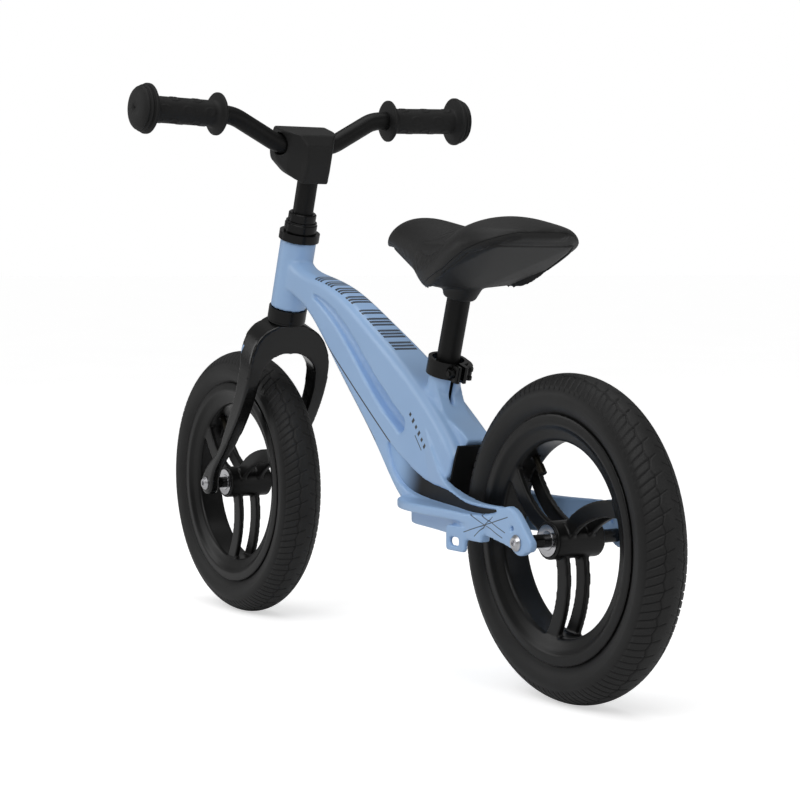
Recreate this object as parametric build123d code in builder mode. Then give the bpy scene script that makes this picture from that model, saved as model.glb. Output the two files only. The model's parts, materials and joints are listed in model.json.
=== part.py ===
"""A child's balance bike: cast frame, turning fork, height-adjustable bar and saddle, two wheels.

Millimetres. The origin is on the ground midway between the wheel axles, +X forward, +Y left, +Z up.
"""

from build123d import *
from math import cos, hypot, radians, sin
import os

os.makedirs("parts", exist_ok=True)

# ---------------------------------------------------------------- driving dimensions
wheelbase = 610.8
tyre_radius = 145.0
tyre_half_width = 23.5
axle_height = tyre_radius

steering_angle = 18.1
fork_rake = 34.8
post_angle = 17.7

running_gap = 0.05
slip_gap = 0.15
easy_gap = 0.3

axle_radius = 6.0
axle_bore = 4.05
bolt_radius = 4.0
bolt_head_radius = 7.2
bolt_head_height = 3.6
bolt_length = 26.0

bearing_outer = 14.0
bearing_width = 8.0
ring_thickness = 2.2
balls_per_row = 8

hub_radius = 17.0
hub_half_length = 25.5
rim_inner = 86.0
rim_flange = 110.5
rim_well = 98.0
rim_half_width = 19.6
bead_seat = 103.8
spoke_width = 15.0
spoke_outer_face = 13.0
spoke_blade = 5.5
valve_angle = 52.0
valve_radius = 3.0
valve_tip = 68.0

head_tube_radius = 19.0
head_tube_bore = 15.5
head_tube_low = 216.6
head_tube_high = 292.3

steerer_radius = 12.7
steerer_wall = 1.6
quill_radius = 10.9
bar_radius = 9.55
bar_forward = 16.9
bar_along = 389.9
bar_mid_half = 31.0
bar_rise = (169.8, 84.0, 538.7)
bar_end = (162.5, 194.5, 541.5)
bar_bend = 38.0
bar_wall = 1.6
grip_radius = 13.5
inner_flange_radius = 22.0
outer_flange_radius = 25.5

fork_tip_outer = 49.0
fork_tip_inner = 38.0
rear_plate_outer = 58.0
rear_plate_inner = 50.0

post_radius = 11.2
post_wall = 1.8
seat_tube_radius = 15.5
seat_tube_top = -6.0
seat_tube_bottom = -125.0
collar_low = -17.0
collar_high = -1.0
collar_thickness = 3.6

well_radius = 160.0
recess_depth = 5.0
inlay_thickness = 1.8
guard_thickness = 2.5
guard_top = 27.0
guard_bottom = -3.0
guard_half_width = 25.0
guard_screw_angles = (19.0, 4.0)
guard_screw_radius = 2.0
guard_screw_head = 1.8
guard_screw_length = 12.0

ledge_thickness = 8.5
strap_slot_length = 15.0
strap_slot_height = 7.5
strap_tab_thickness = 4.5
eyelet_place = (-297.3, 156.8)
eyelet_radius = 2.5
clamp_slit = 3.0

# headset
cup_insert = 8.0
cup_inner = 14.0
cup_cavity = 17.6
lower_cup_radius = 20.5
upper_cup_radius = 21.5
headset_ball = 2.3
headset_pitch = 15.15
headset_ball_count = 16

# stem, its clamp and the cover over it; places run along the steering axis
block_low = 375.0
block_high = 404.5
block_half = 19.0
cap_front = 30.0
screw_radius = 1.9
expander_radius = 4.0
expander_head = 6.5
wedge_length = 14.0
cover_wall = 2.6
quill_depth = 60.0

# quick-release clamp on the seat tube
ear_gap = 4.0
ear_thickness = 4.5
ear_reach = 28.0
clamp_bolt_radius = 2.5
clamp_bolt_back = 21.2
barrel_radius = 2.4
clamp_nut_radius = 4.4

# seat post and saddle; places run along the post
post_low = -95.0
post_high = 92.0
post_plug_length = 20.0
socket_low = 59.5
socket_top = 106.0
bolt_seat = 97.0
saddle_bolt_radius = 4.0
pad_skirt = 6.0
pan_wall = 3.5

# tyre and inner tube
tread_inner = 139.0
tube_centre = 121.0
tube_section = 16.8
tube_wall = 1.3

# ---------------------------------------------------------------- places worked out from them
rear_x = -wheelbase / 2
front_x = wheelbase / 2

steer_sin = sin(radians(steering_angle))
steer_cos = cos(radians(steering_angle))
steer_foot = (front_x - fork_rake * steer_cos, 0, axle_height - fork_rake * steer_sin)
steer_up = (-steer_sin, 0, steer_cos)
steer_forward = (steer_cos, 0, steer_sin)
steer_axis = Axis(steer_foot, steer_up)
steer_side = Plane(origin=steer_foot, x_dir=steer_forward, z_dir=(0, -1, 0))
steer_front = Plane(origin=steer_foot, x_dir=(0, 1, 0), z_dir=steer_forward)

post_sin = sin(radians(post_angle))
post_cos = cos(radians(post_angle))
post_foot = (-109.2, 0, 297.2)
post_up = (-post_sin, 0, post_cos)
post_back = (-post_cos, 0, -post_sin)
post_axis = Axis(post_foot, post_up)
post_side = Plane(origin=post_foot, x_dir=(post_cos, 0, post_sin), z_dir=(0, -1, 0))

inner_ring_outer = axle_radius + ring_thickness
outer_ring_inner = bearing_outer - ring_thickness
ball_pitch = (inner_ring_outer + outer_ring_inner) / 2
ball_radius = (outer_ring_inner - inner_ring_outer) / 2 - running_gap
bearing_face = hub_half_length + 0.5


def steer_plane(along):
    """Plane square to the steering axis, this far along it."""
    centre = [foot + along * part for foot, part in zip(steer_foot, steer_up)]
    return Plane(origin=centre, x_dir=steer_forward, z_dir=steer_up)


def post_plane(along):
    """Plane square to the seat post, this far along it; its x points back."""
    centre = [foot + along * part for foot, part in zip(post_foot, post_up)]
    return Plane(origin=centre, x_dir=post_back, z_dir=post_up)


def wheel_radial(centre_x):
    """Plane through a wheel's axle in which x is the radius and y lies along the axle."""
    return Plane(origin=(centre_x, 0, axle_height), x_dir=(1, 0, 0), z_dir=(0, 0, 1))


def wheel_side(centre_x, offset=0.0):
    """Side view of a wheel, centred on its axle and this far to its left."""
    return Plane(origin=(centre_x, offset, axle_height), x_dir=(1, 0, 0), z_dir=(0, -1, 0))


def turned(plane, axis, outline):
    """A ring or shaft: an outline of radius and place along the axis, turned about it."""
    with BuildPart() as ring:
        with BuildSketch(plane):
            with BuildLine():
                Polyline(*outline, close=True)
            make_face()
        revolve(axis=axis)
    return ring.part


def tube_outline(inner, outer, low, high):
    """Outline of a plain tube between two radii."""
    return [(inner, low), (outer, low), (outer, high), (inner, high)]


def save(part, name):
    part.label = name
    export_step(part, f"parts/{name}.step")


# ---------------------------------------------------------------- frame casting
def frame_hull():
    """Deep, slim beam from the head tube to the wheel arch, lofted through rounded sections."""
    # each section: a point on the under edge, a point on the upper edge, half the width
    sections = [
        ((190, 356), (174, 392), 15.0),
        ((142, 336), (118, 371), 15.5),
        ((96, 298), (58, 351), 17.0),
        ((42, 251), (-1, 320), 20.0),
        ((4, 218), (-48, 294), 22.0),
        ((-28, 186), (-98, 262), 23.5),
        ((-60, 159), (-140, 230), 26.0),
        ((-108, 140), (-163, 203), 27.5),
    ]
    with BuildPart() as hull:
        for low, high, half_width in sections:
            run = (high[0] - low[0], high[1] - low[1])
            length = hypot(*run)
            middle = ((low[0] + high[0]) / 2, 0, (low[1] + high[1]) / 2)
            up = (run[0] / length, 0, run[1] / length)
            level = Plane(origin=middle, x_dir=(0, 1, 0), z_dir=(-up[2], 0, up[0]))
            with BuildSketch(level):
                RectangleRounded(2 * half_width, length, min(9.0, half_width - 4))
        loft()
    return hull.part


def stay_band():
    """Plan of the left stay: it leaves the beam, passes the tyre and ends in the dropout."""
    with BuildPart() as band:
        with BuildSketch(Plane.XY):
            with BuildLine():
                outer = Spline((-60, 14), (-110, 26), (-160, 36), (-205, 47), (-245, 54.5), (-275, 58))
                Line(outer @ 1, (-330, 58))
                Line((-330, 58), (-330, 50))
                Line((-330, 50), (-275, 50))
                inner = Spline((-275, 50), (-243, 45), (-210, 35.5), (-180, 29.5), (-150, 28))
                Line(inner @ 1, (-60, 6))
                Line((-60, 6), outer @ 0)
            make_face()
        extrude(amount=300)
    return band.part


def stay_side():
    """Side view of a stay with its round dropout lug."""
    with BuildPart() as slab:
        with BuildSketch(Plane.XZ):
            with BuildLine():
                upper = [(-70, 246), (-110, 226), (-128, 206), (-148, 188), (-175, 178), (-240, 173)]
                Spline(*upper, (-284, 173.5))
                Spline((-284, 173.5), (-293, 175), (-303, 170.5), (-323, 150))
                ThreePointArc((-323, 150), (-325, 141), (-318, 138))
                ThreePointArc((-318, 138), (-309, 134), (-298, 138.5))
                Spline((-298, 138.5), (-270, 144), (-222, 146), (-160, 141), (-110, 142), (-70, 165))
                Line((-70, 165), (-70, 246))
            make_face()
        extrude(amount=70, both=True)
    return slab.part


def side_recess(depth, outset=0.0):
    """The long tapered recess in the stay and the beam's foot, as a band this deep."""
    with BuildPart() as recess:
        with BuildSketch(Plane.XZ):
            with BuildLine():
                crest = [(-34, 214), (-76, 194), (-118, 180), (-160, 177), (-209, 170.5), (-250, 170)]
                Spline(*crest, (-283, 171.3))
                Spline((-283, 171.3), (-262, 166), (-183, 163), (-108, 164), (-60, 176), (-34, 214))
            make_face()
        extrude(amount=80, both=True)
        with BuildSketch(Plane.XY):
            with BuildLine():
                points = [(-20, 21.5), (-60, 24), (-110, 26), (-160, 36)]
                points += [(-205, 47), (-245, 54.5), (-275, 58)]
                near = Spline(*[(x, y - depth) for x, y in points])
                far = Spline(*[(x, y + 8 - outset) for x, y in points])
                Line(near @ 0, far @ 0)
                Line(far @ 1, (-300, 66 - outset))
                Line((-300, 66 - outset), (-300, 58 - depth))
                Line((-300, 58 - depth), near @ 1)
            make_face()
        extrude(amount=300, mode=Mode.INTERSECT)
    return recess.part


def shelf():
    """Footrest ledge that runs on along the stay, and the lower belly under it."""
    with BuildPart() as ledge:
        with BuildSketch(Plane.XY.offset(155)):
            with BuildLine():
                Spline((-58, 10), (-70, 30), (-92, 46), (-122, 55), (-155, 58), (-190, 58))
                Line((-190, 58), (-262, 58))
                Line((-262, 58), (-250, 47.5))
                Spline((-250, 47.5), (-210, 35.5), (-180, 29.5), (-150, 28))
                Line((-150, 28), (-120, 10))
                Line((-120, 10), (-58, 10))
            make_face()
        extrude(amount=ledge_thickness)
        with BuildSketch(Plane.XY.offset(139)):
            with BuildLine():
                Spline((-74, 8), (-82, 24), (-112, 34), (-165, 43), (-210, 54), (-232, 58))
                Line((-232, 58), (-250, 58))
                Line((-250, 58), (-250, 47.5))
                Spline((-250, 47.5), (-210, 35.5), (-180, 29.5), (-150, 28))
                Line((-150, 28), (-120, 8))
                Line((-120, 8), (-74, 8))
            make_face()
        extrude(amount=16.5)
    return ledge.part


def strap_tab():
    """Lug under the stay with a slot for a tow strap."""
    with BuildPart() as tab:
        with BuildSketch(Plane.XZ.offset(-(rear_plate_outer - 0.5))):
            with Locations((-207.5, 138.5)):
                RectangleRounded(31, 23, 4)
            with Locations((-206, 136)):
                RectangleRounded(strap_slot_length, strap_slot_height, 2.5, mode=Mode.SUBTRACT)
        extrude(amount=strap_tab_thickness)
    return tab.part


def guard_seat(angle, radius):
    """Plane facing outwards from the rear axle, at an angle above the forward direction."""
    outward = (cos(radians(angle)), 0, sin(radians(angle)))
    origin = (rear_x + radius * outward[0], 0, axle_height + radius * outward[2])
    return Plane(origin=origin, x_dir=(0, 1, 0), z_dir=outward)


hull = frame_hull()
left_stay = stay_band() & stay_side()
left_recess = side_recess(recess_depth)
left_shelf = shelf()
left_tab = strap_tab()

with BuildPart() as frame:
    add(hull)
    for piece in (left_stay, left_shelf, left_tab):
        add(piece)
        add(piece.mirror(Plane.XZ))
    with BuildSketch(steer_plane(head_tube_low)):
        Circle(head_tube_radius)
    extrude(amount=head_tube_high - head_tube_low)
    with BuildSketch(post_plane(seat_tube_bottom + 20)):
        Circle(seat_tube_radius)
    extrude(amount=seat_tube_top - seat_tube_bottom - 20)

    # spine behind the seat tube, down to the top of the arch
    with BuildSketch(Plane.XZ):
        with BuildLine():
            Spline((-109, 274), (-116, 256), (-124, 245), (-142, 235), (-164, 222))
            Line((-164, 222), (-140, 190))
            Line((-140, 190), (-96, 215))
            Line((-96, 215), (-109, 274))
        make_face()
    extrude(amount=14, both=True)

    # room for the rear wheel between the stays
    with BuildSketch(wheel_side(rear_x)):
        Circle(well_radius)
    extrude(amount=28, both=True, mode=Mode.SUBTRACT)

    # shallow waist along each side of the beam
    for side in (1, -1):
        with BuildSketch(Plane.XZ.offset(-side * 60)):
            with BuildLine():
                Spline((128, 356), (84, 341), (35, 310), (-4, 279), (-44, 251), (-62, 239))
                ThreePointArc((-62, 239), (-66, 228), (-52, 226))
                Spline((-52, 226), (-18, 248), (30, 287), (78, 325), (122, 350))
                Line((122, 350), (128, 356))
            make_face()
        extrude(amount=side * (60 - 11.5), mode=Mode.SUBTRACT)
        add(left_recess if side == 1 else left_recess.mirror(Plane.XZ), mode=Mode.SUBTRACT)

    # bores
    with BuildSketch(steer_plane(head_tube_low)):
        Circle(head_tube_bore)
    extrude(amount=head_tube_high - head_tube_low, mode=Mode.SUBTRACT)
    with BuildSketch(post_plane(seat_tube_bottom)):
        Circle(post_radius + slip_gap)
    extrude(amount=seat_tube_top - seat_tube_bottom, mode=Mode.SUBTRACT)
    with BuildSketch(post_plane(-42)):
        with Locations((seat_tube_radius, 0)):
            Rectangle(20, clamp_slit)
    extrude(amount=42 + seat_tube_top, mode=Mode.SUBTRACT)
    with BuildSketch(wheel_side(rear_x, -70)):
        Circle(bolt_radius + slip_gap)
        with Locations((eyelet_place[0] - rear_x, eyelet_place[1] - axle_height)):
            Circle(eyelet_radius)
    extrude(amount=-140, mode=Mode.SUBTRACT)
    for angle in guard_screw_angles:
        with BuildSketch(guard_seat(angle, well_radius - 1)):
            Circle(guard_screw_radius)
        extrude(amount=guard_screw_length - guard_thickness + 1, mode=Mode.SUBTRACT)
save(frame.part, "frame")

# ---------------------------------------------------------------- trim and guard on the frame
with BuildPart() as inlay_left:
    add(side_recess(recess_depth - slip_gap, running_gap) - side_recess(recess_depth - inlay_thickness))
save(inlay_left.part, "inlay_left")
save(inlay_left.part.mirror(Plane.XZ), "inlay_right")


def guard_point(angle, radius):
    """Point in the wheel's side view at an angle above the forward direction."""
    return (radius * cos(radians(angle)), radius * sin(radians(angle)))


guard_outer = well_radius - running_gap
guard_inner = guard_outer - guard_thickness
guard_screw_sag = 2.1 * guard_screw_radius**2 / guard_inner
with BuildPart() as wheel_guard:
    with BuildSketch(wheel_side(rear_x)):
        with BuildLine():
            top_out = guard_point(guard_top, guard_outer)
            low_out = guard_point(guard_bottom, guard_outer)
            top_in = guard_point(guard_top, guard_inner)
            low_in = guard_point(guard_bottom, guard_inner)
            ThreePointArc(top_out, guard_point((guard_top + guard_bottom) / 2, guard_outer), low_out)
            Line(low_out, low_in)
            ThreePointArc(low_in, guard_point((guard_top + guard_bottom) / 2, guard_inner), top_in)
            Line(top_in, top_out)
        make_face()
    extrude(amount=guard_half_width, both=True)
    for angle in guard_screw_angles:
        with BuildSketch(guard_seat(angle, guard_inner - 1)):
            Circle(guard_screw_radius + running_gap)
        extrude(amount=guard_thickness + 3, mode=Mode.SUBTRACT)
save(wheel_guard.part, "wheel_guard")

with BuildPart() as guard_screws:
    for angle in guard_screw_angles:
        with BuildSketch(guard_seat(angle, guard_inner - guard_screw_sag - guard_screw_head)):
            Circle(2 * guard_screw_radius)
        extrude(amount=guard_screw_head)
        with BuildSketch(guard_seat(angle, guard_inner - guard_screw_sag)):
            Circle(guard_screw_radius)
        extrude(amount=guard_screw_length)
save(guard_screws.part, "guard_screws")


# ---------------------------------------------------------------- headset and steering column
race_low = head_tube_low - 15.8
race_high = race_low + 5.8
steerer_low = race_low - 24.8
steerer_high = head_tube_high + 27.2
lower_ball_place = race_high + 0.1 + headset_ball
upper_ball_place = head_tube_high + 2.4 + headset_ball
cone_low = upper_ball_place + headset_ball + 0.1
cone_high = head_tube_high + 18.7
nut_bore = steerer_radius + running_gap

column_rings = {
    "lower_headset_cup": [
        (cup_cavity, race_low + 2.2),
        (lower_cup_radius, race_low + 2.2),
        (lower_cup_radius, head_tube_low),
        (head_tube_bore, head_tube_low),
        (head_tube_bore, head_tube_low + cup_insert),
        (cup_inner, head_tube_low + cup_insert),
        (cup_inner, lower_ball_place + headset_ball + 0.1),
        (cup_cavity, lower_ball_place + headset_ball + 0.1),
    ],
    "upper_headset_cup": [
        (cup_inner, head_tube_high - cup_insert),
        (head_tube_bore, head_tube_high - cup_insert),
        (head_tube_bore, head_tube_high),
        (upper_cup_radius, head_tube_high),
        (upper_cup_radius, head_tube_high + 8.7),
        (cup_cavity, head_tube_high + 8.7),
        (cup_cavity, upper_ball_place - headset_ball - 0.1),
        (cup_inner, upper_ball_place - headset_ball - 0.1),
    ],
    "crown_race": [
        (nut_bore, race_low),
        (20.0, race_low),
        (20.0, race_low + 1.8),
        (17.2, race_low + 1.8),
        (16.0, race_high),
        (nut_bore, race_high),
    ],
    "adjusting_cone": [
        (nut_bore, cone_low),
        (16.0, cone_low),
        (17.3, cone_low + 2),
        (17.3, cone_high - 1),
        (16.3, cone_high),
        (nut_bore, cone_high),
    ],
    "lock_washer": tube_outline(nut_bore, 16.5, cone_high, cone_high + 1.6),
    "locknut": [
        (nut_bore, cone_high + 1.6),
        (14.8, cone_high + 1.6),
        (14.8, cone_high + 9.8),
        (13.8, cone_high + 10.8),
        (quill_radius + easy_gap, cone_high + 10.8),
        (quill_radius + easy_gap, steerer_high + 0.2),
        (nut_bore, steerer_high + 0.2),
    ],
    "steerer_tube": tube_outline(steerer_radius - steerer_wall, steerer_radius, steerer_low, steerer_high),
}
for name, outline in column_rings.items():
    save(turned(steer_side, steer_axis, outline), name)

for name, place in {"lower_headset_balls": lower_ball_place, "upper_headset_balls": upper_ball_place}.items():
    with BuildPart() as balls:
        with Locations(steer_plane(place)):
            with PolarLocations(headset_pitch, headset_ball_count):
                Sphere(headset_ball)
    save(balls.part, name)

# ---------------------------------------------------------------- fork
with BuildPart() as fork:
    with BuildSketch(steer_front):
        with BuildLine():
            Spline((49, -14), (49, 30), (49.5, 100), (49, 150), (46, 172), (37, 188), (23, 197))
            Line((23, 197), (16, race_low))
            Line((16, race_low), (0, race_low))
            Line((0, race_low), (0, 170))
            Spline((0, 170), (20, 166), (31, 154), (33.5, 138), (34, 92), (37, 30), (38, -14))
            Line((38, -14), (49, -14))
        make_face()
        mirror(about=Plane.YZ)
    extrude(amount=60, both=True)
    with BuildSketch(steer_side):
        with BuildLine():
            front_edge = [(12, 186), (4, 166), (-1, 138), (2, 108), (10, 76), (20, 46), (42, 14)]
            Spline((17, race_low), *front_edge, (46.8, 0))
            ThreePointArc((46.8, 0), (fork_rake, -12.5), (23.5, 0))
            rear_edge = [(22, 20), (12, 40), (1, 62), (-12, 92), (-22, 128), (-24, 156), (-19, 182)]
            Spline((23.5, 0), *rear_edge, (-17, race_low))
            Line((-17, race_low), (17, race_low))
        make_face()
    extrude(amount=60, both=True, mode=Mode.INTERSECT)
    for side in (1, -1):
        with BuildSketch(wheel_side(front_x, side * fork_tip_inner)):
            Circle(12.0)
        extrude(amount=-side * (fork_tip_outer - fork_tip_inner))
    with BuildSketch(wheel_side(front_x, -fork_tip_inner)):
        Circle(13.5)
    extrude(amount=-2 * fork_tip_inner, mode=Mode.SUBTRACT)
    with BuildSketch(steer_plane(steerer_low)):
        Circle(steerer_radius)
    extrude(amount=40, mode=Mode.SUBTRACT)
    with BuildSketch(wheel_side(front_x, -60)):
        Circle(bolt_radius + slip_gap)
    extrude(amount=-120, mode=Mode.SUBTRACT)
save(fork.part, "fork")

# ---------------------------------------------------------------- stem and handlebar
stem_low = head_tube_high - quill_depth
block_split = bar_forward - easy_gap
screw_places = [(y, s) for y in (-12.5, 12.5) for s in (block_low + 3, block_high - 2.7)]

with BuildPart() as stem:
    with BuildSketch(steer_side):
        with BuildLine():
            Polyline(
                (-quill_radius, 366),
                (7, 366),
                (block_split, block_low),
                (block_split, block_high),
                (-5, block_high),
                (-quill_radius, 397),
                close=True,
            )
        make_face()
    extrude(amount=block_half, both=True)
    with BuildSketch(steer_plane(360)):
        with BuildLine():
            Polyline((-11, 0), (-11, 13.5), (8, block_half), (20, block_half), (20, 0), close=True)
        make_face()
        mirror(about=Plane.XZ)
    extrude(amount=60, mode=Mode.INTERSECT)
    with BuildSketch(steer_plane(stem_low)):
        Circle(quill_radius)
    extrude(amount=380 - stem_low)
    with BuildSketch(steer_plane(stem_low)):
        Circle(quill_radius - 1.9)
    extrude(amount=366 - stem_low, mode=Mode.SUBTRACT)
    with BuildSketch(steer_plane(360)):
        Circle(expander_radius + slip_gap)
    extrude(amount=60, mode=Mode.SUBTRACT)
    with BuildSketch(steer_plane(396)):
        Circle(expander_head + easy_gap)
    extrude(amount=20, mode=Mode.SUBTRACT)
    with BuildSketch(steer_side):
        with Locations((bar_forward, bar_along)):
            Circle(bar_radius + running_gap)
    extrude(amount=60, both=True, mode=Mode.SUBTRACT)
    with BuildSketch(steer_front.offset(4)):
        with Locations(*screw_places):
            Circle(screw_radius)
    extrude(amount=20, mode=Mode.SUBTRACT)
save(stem.part, "stem")

with BuildPart() as bar_clamp_cap:
    with BuildSketch(steer_side):
        with BuildLine():
            Polyline(
                (block_split + 0.6, block_low),
                (26, block_low),
                (cap_front, block_low + 4),
                (cap_front, block_high - 4),
                (26, block_high),
                (block_split + 0.6, block_high),
                close=True,
            )
        make_face()
        with Locations((bar_forward, bar_along)):
            Circle(bar_radius + running_gap, mode=Mode.SUBTRACT)
    extrude(amount=block_half, both=True)
    with BuildSketch(steer_front.offset(block_split)):
        with Locations(*screw_places):
            Circle(screw_radius + running_gap)
    extrude(amount=20, mode=Mode.SUBTRACT)
    with BuildSketch(steer_front.offset(25.8)):
        with Locations(*screw_places):
            Circle(1.9 * screw_radius)
    extrude(amount=20, mode=Mode.SUBTRACT)
save(bar_clamp_cap.part, "bar_clamp_cap")

with BuildPart() as clamp_cap_screws:
    with BuildSketch(steer_front.offset(6)):
        with Locations(*screw_places):
            Circle(screw_radius)
    extrude(amount=25.8 - 6)
    with BuildSketch(steer_front.offset(25.8)):
        with Locations(*screw_places):
            Circle(1.5 * screw_radius)
            RegularPolygon(1.1, 6, mode=Mode.SUBTRACT)
    extrude(amount=3)
save(clamp_cap_screws.part, "clamp_cap_screws")

wedge_outline = tube_outline(expander_radius, quill_radius - slip_gap, stem_low - wedge_length, stem_low)
save(turned(steer_side, steer_axis, wedge_outline), "expander_wedge")
expander_outline = [
    (0, stem_low - wedge_length - 2),
    (expander_radius, stem_low - wedge_length - 2),
    (expander_radius, 396),
    (expander_head, 396),
    (expander_head, 403),
    (3.0, 403),
    (3.0, 399),
    (0, 399),
]
save(turned(steer_side, steer_axis, expander_outline), "expander_bolt")

bar_centre = [
    foot + bar_forward * ahead + bar_along * up
    for foot, ahead, up in zip(steer_foot, steer_forward, steer_up)
]
left_bar = [(bar_centre[0], bar_mid_half, bar_centre[2]), bar_rise, bar_end]
right_bar = [(x, -y, z) for x, y, z in left_bar]


def bar_shape(outer):
    """The bar's bent path filled to this radius."""
    with BuildPart() as shape:
        with BuildLine():
            route = FilletPolyline(*reversed(left_bar), *right_bar, radius=bar_bend)
        with BuildSketch(Plane(origin=route @ 0, z_dir=route % 0)):
            Circle(outer)
        sweep()
    return shape.part


with BuildPart() as handlebar:
    add(bar_shape(bar_radius))
    add(bar_shape(bar_radius - bar_wall), mode=Mode.SUBTRACT)
save(handlebar.part, "handlebar")

grip_length = hypot(*[end - start for end, start in zip(bar_end, bar_rise)])
grip_bore = bar_radius + running_gap
for side, name in ((1, "grip_left"), (-1, "grip_right")):
    start = (bar_rise[0], side * bar_rise[1], bar_rise[2])
    along = Vector(bar_end[0] - bar_rise[0], side * (bar_end[1] - bar_rise[1]), bar_end[2] - bar_rise[2])
    square = Vector(0, 0, 1).cross(along)
    grip_axis = Axis(start, along)
    flat = Plane(origin=start, x_dir=square, z_dir=square.cross(along))
    with BuildPart() as grip:
        with BuildSketch(flat):
            with BuildLine():
                Polyline(
                    (grip_bore, 16),
                    (inner_flange_radius - 1.5, 16),
                    (inner_flange_radius, 17.5),
                    (inner_flange_radius, 21.5),
                    (inner_flange_radius - 1.5, 23),
                    (grip_radius, 24),
                    (grip_radius, 97),
                    (outer_flange_radius - 2, 98),
                    (outer_flange_radius, 100),
                    (outer_flange_radius, 103.5),
                    (outer_flange_radius - 2, 105.5),
                    (20.5, 106),
                    (19, 109.5),
                    (10, grip_length + 3),
                    (1.5, grip_length + 3.3),
                    (1.5, grip_length + 0.4),
                    (grip_bore, grip_length + 0.4),
                    close=True,
                )
            make_face()
        revolve(axis=grip_axis)
    save(grip.part, name)

# cover over the stem head: a faceted shell, open below for the quill and at the sides for the bar


def cover_solid(inset, low):
    """The cover's outer shape, drawn in by an inset, from this height on the steering axis up."""
    with BuildPart() as shell:
        with BuildSketch(steer_side):
            with BuildLine():
                Polyline(
                    (-16 + inset, low),
                    (12 - inset, low),
                    (31 - inset, 371 + 0.4 * inset),
                    (37.5 - inset, 380),
                    (38 - inset, 396),
                    (34 - 0.8 * inset, 406.2 - inset),
                    (-6, 407.2 - inset),
                    (-16 + inset, 397),
                    (-18.5 + inset, 380),
                    close=True,
                )
            make_face()
        extrude(amount=60, both=True)
        with BuildSketch(steer_plane(320)):
            with BuildLine():
                Polyline(
                    (42 - inset, 0),
                    (42 - inset, 22 - inset),
                    (36 - inset, 31 - inset),
                    (20, 33 - inset),
                    (2, 26 - 1.1 * inset),
                    (-12, 17 - 1.1 * inset),
                    (-22 + inset, 12 - inset),
                    (-22 + inset, 0),
                    close=True,
                )
            make_face()
            mirror(about=Plane.XZ)
        extrude(amount=100, mode=Mode.INTERSECT)
        with BuildSketch(steer_front.offset(-30)):
            with BuildLine():
                Polyline(
                    (0, low),
                    (15 - inset, low),
                    (24 - inset, 362),
                    (31 - inset, 371),
                    (33.5 - inset, 381),
                    (33.5 - inset, 401),
                    (29 - inset, 408),
                    (0, 408),
                    close=True,
                )
            make_face()
            mirror(about=Plane.YZ)
        extrude(amount=80, mode=Mode.INTERSECT)
    return shell.part


def cover_pocket():
    """Room inside the cover for the stem head, its cap and the cap's screws."""
    with BuildPart() as pocket:
        with BuildSketch(steer_side):
            with BuildLine():
                Polyline(
                    (-11.3, 350),
                    (8, 365.5),
                    (33, 378),
                    (33, 404.8),
                    (-5.3, 404.8),
                    (-11.3, 397),
                    close=True,
                )
            make_face()
        extrude(amount=block_half + running_gap, both=True)
        with BuildSketch(steer_plane(340)):
            with BuildLine():
                half = block_half + running_gap
                Polyline((-12, 0), (-12, 13.6), (8, half), (34, half), (34, 0), close=True)
            make_face()
            mirror(about=Plane.XZ)
        extrude(amount=80, mode=Mode.INTERSECT)
    return pocket.part


with BuildPart() as stem_cover:
    add(cover_solid(0, 357))
    add(cover_solid(cover_wall, 355), mode=Mode.SUBTRACT)
    add(cover_pocket(), mode=Mode.SUBTRACT)
    add(bar_shape(bar_radius + 4 * easy_gap), mode=Mode.SUBTRACT)
save(stem_cover.part, "stem_cover")

# ---------------------------------------------------------------- seat clamp
barrel_side = ear_gap / 2 + ear_thickness + 4.3
lever_drum = barrel_side - ear_gap / 2 - ear_thickness - 2 * running_gap
collar_inner = seat_tube_radius + running_gap
collar_outer = collar_inner + collar_thickness
clamp_middle = (collar_low + collar_high) / 2
clamp_side = Plane(post_plane(clamp_middle).origin, x_dir=post_back, z_dir=(0, -1, 0))
ear_face = ear_gap / 2 + ear_thickness

with BuildPart() as seat_clamp_collar:
    with BuildSketch(post_plane(collar_low)):
        Circle(collar_outer)
        with Locations((ear_reach / 2, 0)):
            RectangleRounded(ear_reach, ear_gap + 2 * ear_thickness, 2.5)
        Circle(collar_inner, mode=Mode.SUBTRACT)
        with Locations((ear_reach / 2, 0)):
            Rectangle(ear_reach + 2, ear_gap, mode=Mode.SUBTRACT)
    extrude(amount=collar_high - collar_low)
    with BuildSketch(clamp_side.offset(-30)):
        with Locations((clamp_bolt_back, 0)):
            Circle(clamp_bolt_radius + slip_gap)
    extrude(amount=60, mode=Mode.SUBTRACT)
    with BuildSketch(clamp_side.offset(-ear_face - 8)):
        with Locations((clamp_bolt_back, 0)):
            Circle(clamp_nut_radius + 0.8)
    extrude(amount=8, mode=Mode.SUBTRACT)
save(seat_clamp_collar.part, "seat_clamp_collar")

with BuildPart() as seat_clamp_bolt:
    with BuildSketch(clamp_side.offset(-ear_face - 6)):
        with Locations((clamp_bolt_back, 0)):
            Circle(clamp_bolt_radius)
    extrude(amount=ear_face + 6 + barrel_side)
    with BuildSketch(post_plane(clamp_middle - 6.5)):
        with Locations((clamp_bolt_back, barrel_side)):
            Circle(barrel_radius)
    extrude(amount=13)
save(seat_clamp_bolt.part, "seat_clamp_bolt")

with BuildPart() as seat_clamp_nut:
    with BuildSketch(clamp_side.offset(-ear_face - 4.5)):
        with Locations((clamp_bolt_back, 0)):
            RegularPolygon(clamp_nut_radius, 6)
            Circle(clamp_bolt_radius + running_gap, mode=Mode.SUBTRACT)
    extrude(amount=4.5)
save(seat_clamp_nut.part, "seat_clamp_nut")


def around_post(radius, angle):
    """Point in the clamp's plan, by the angle from straight back towards the right side."""
    return (radius * cos(radians(angle)), radius * sin(radians(angle)))


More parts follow.
